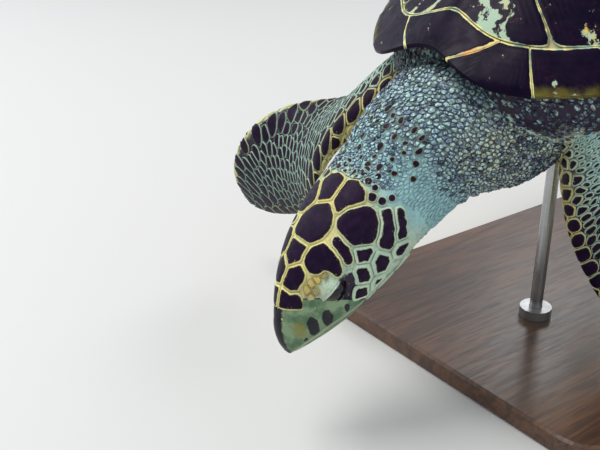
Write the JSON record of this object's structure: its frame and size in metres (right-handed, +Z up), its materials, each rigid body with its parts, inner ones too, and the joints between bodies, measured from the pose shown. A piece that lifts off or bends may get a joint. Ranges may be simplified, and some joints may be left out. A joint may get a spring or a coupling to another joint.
{
  "type": "hawksbill sea turtle model",
  "caption": "Life-size hawksbill sea turtle, head down and front flippers lowered as if feeding on a reef, held over a plain base by two short rods.",
  "frame": {"origin": "centre of the stand base's underside, which is the face the model stands on", "axes": "+Z up, -Y the way the turtle faces, +X the turtle's left side"},
  "size_m": [0.6589, 0.9662, 0.614],
  "materials": {
    "skin": "scaly hide, dark scales with pale seams, satin",
    "carapace": "polished horn, dark with amber and cream streaks",
    "plastron": "smooth pale yellow horn",
    "beak": "smooth green-brown horn with dark blotches",
    "eye": "wet, near black",
    "claw": "dark horn",
    "stand_base": "dark stained, satin",
    "stand_rod": "brushed",
    "stand_pad": "matt black"
  },
  "bodies": {
    "root": {"head": "skin", "neck": "skin", "trunk": "skin", "tail": "skin", "flipper_front_left_arm": "skin", "flipper_front_left_blade": "skin", "flipper_front_right_arm": "skin", "flipper_front_right_blade": "skin", "flipper_rear_left": "skin", "flipper_rear_right": "skin", "carapace": "carapace", "plastron": "plastron", "beak_upper": "beak", "beak_lower": "beak", "eye_left": "eye", "eye_right": "eye", "claw_front_left_1": "claw", "claw_front_left_2": "claw", "claw_front_right_1": "claw", "claw_front_right_2": "claw", "claw_rear_left_1": "claw", "claw_rear_left_2": "claw", "claw_rear_right_1": "claw", "claw_rear_right_2": "claw", "stand_base": "stand_base", "stand_rod_front": "stand_rod", "stand_collar_front": "stand_rod", "stand_pad_front": "stand_pad", "stand_rod_rear": "stand_rod", "stand_collar_rear": "stand_rod", "stand_pad_rear": "stand_pad"}
  },
  "joints": []
}
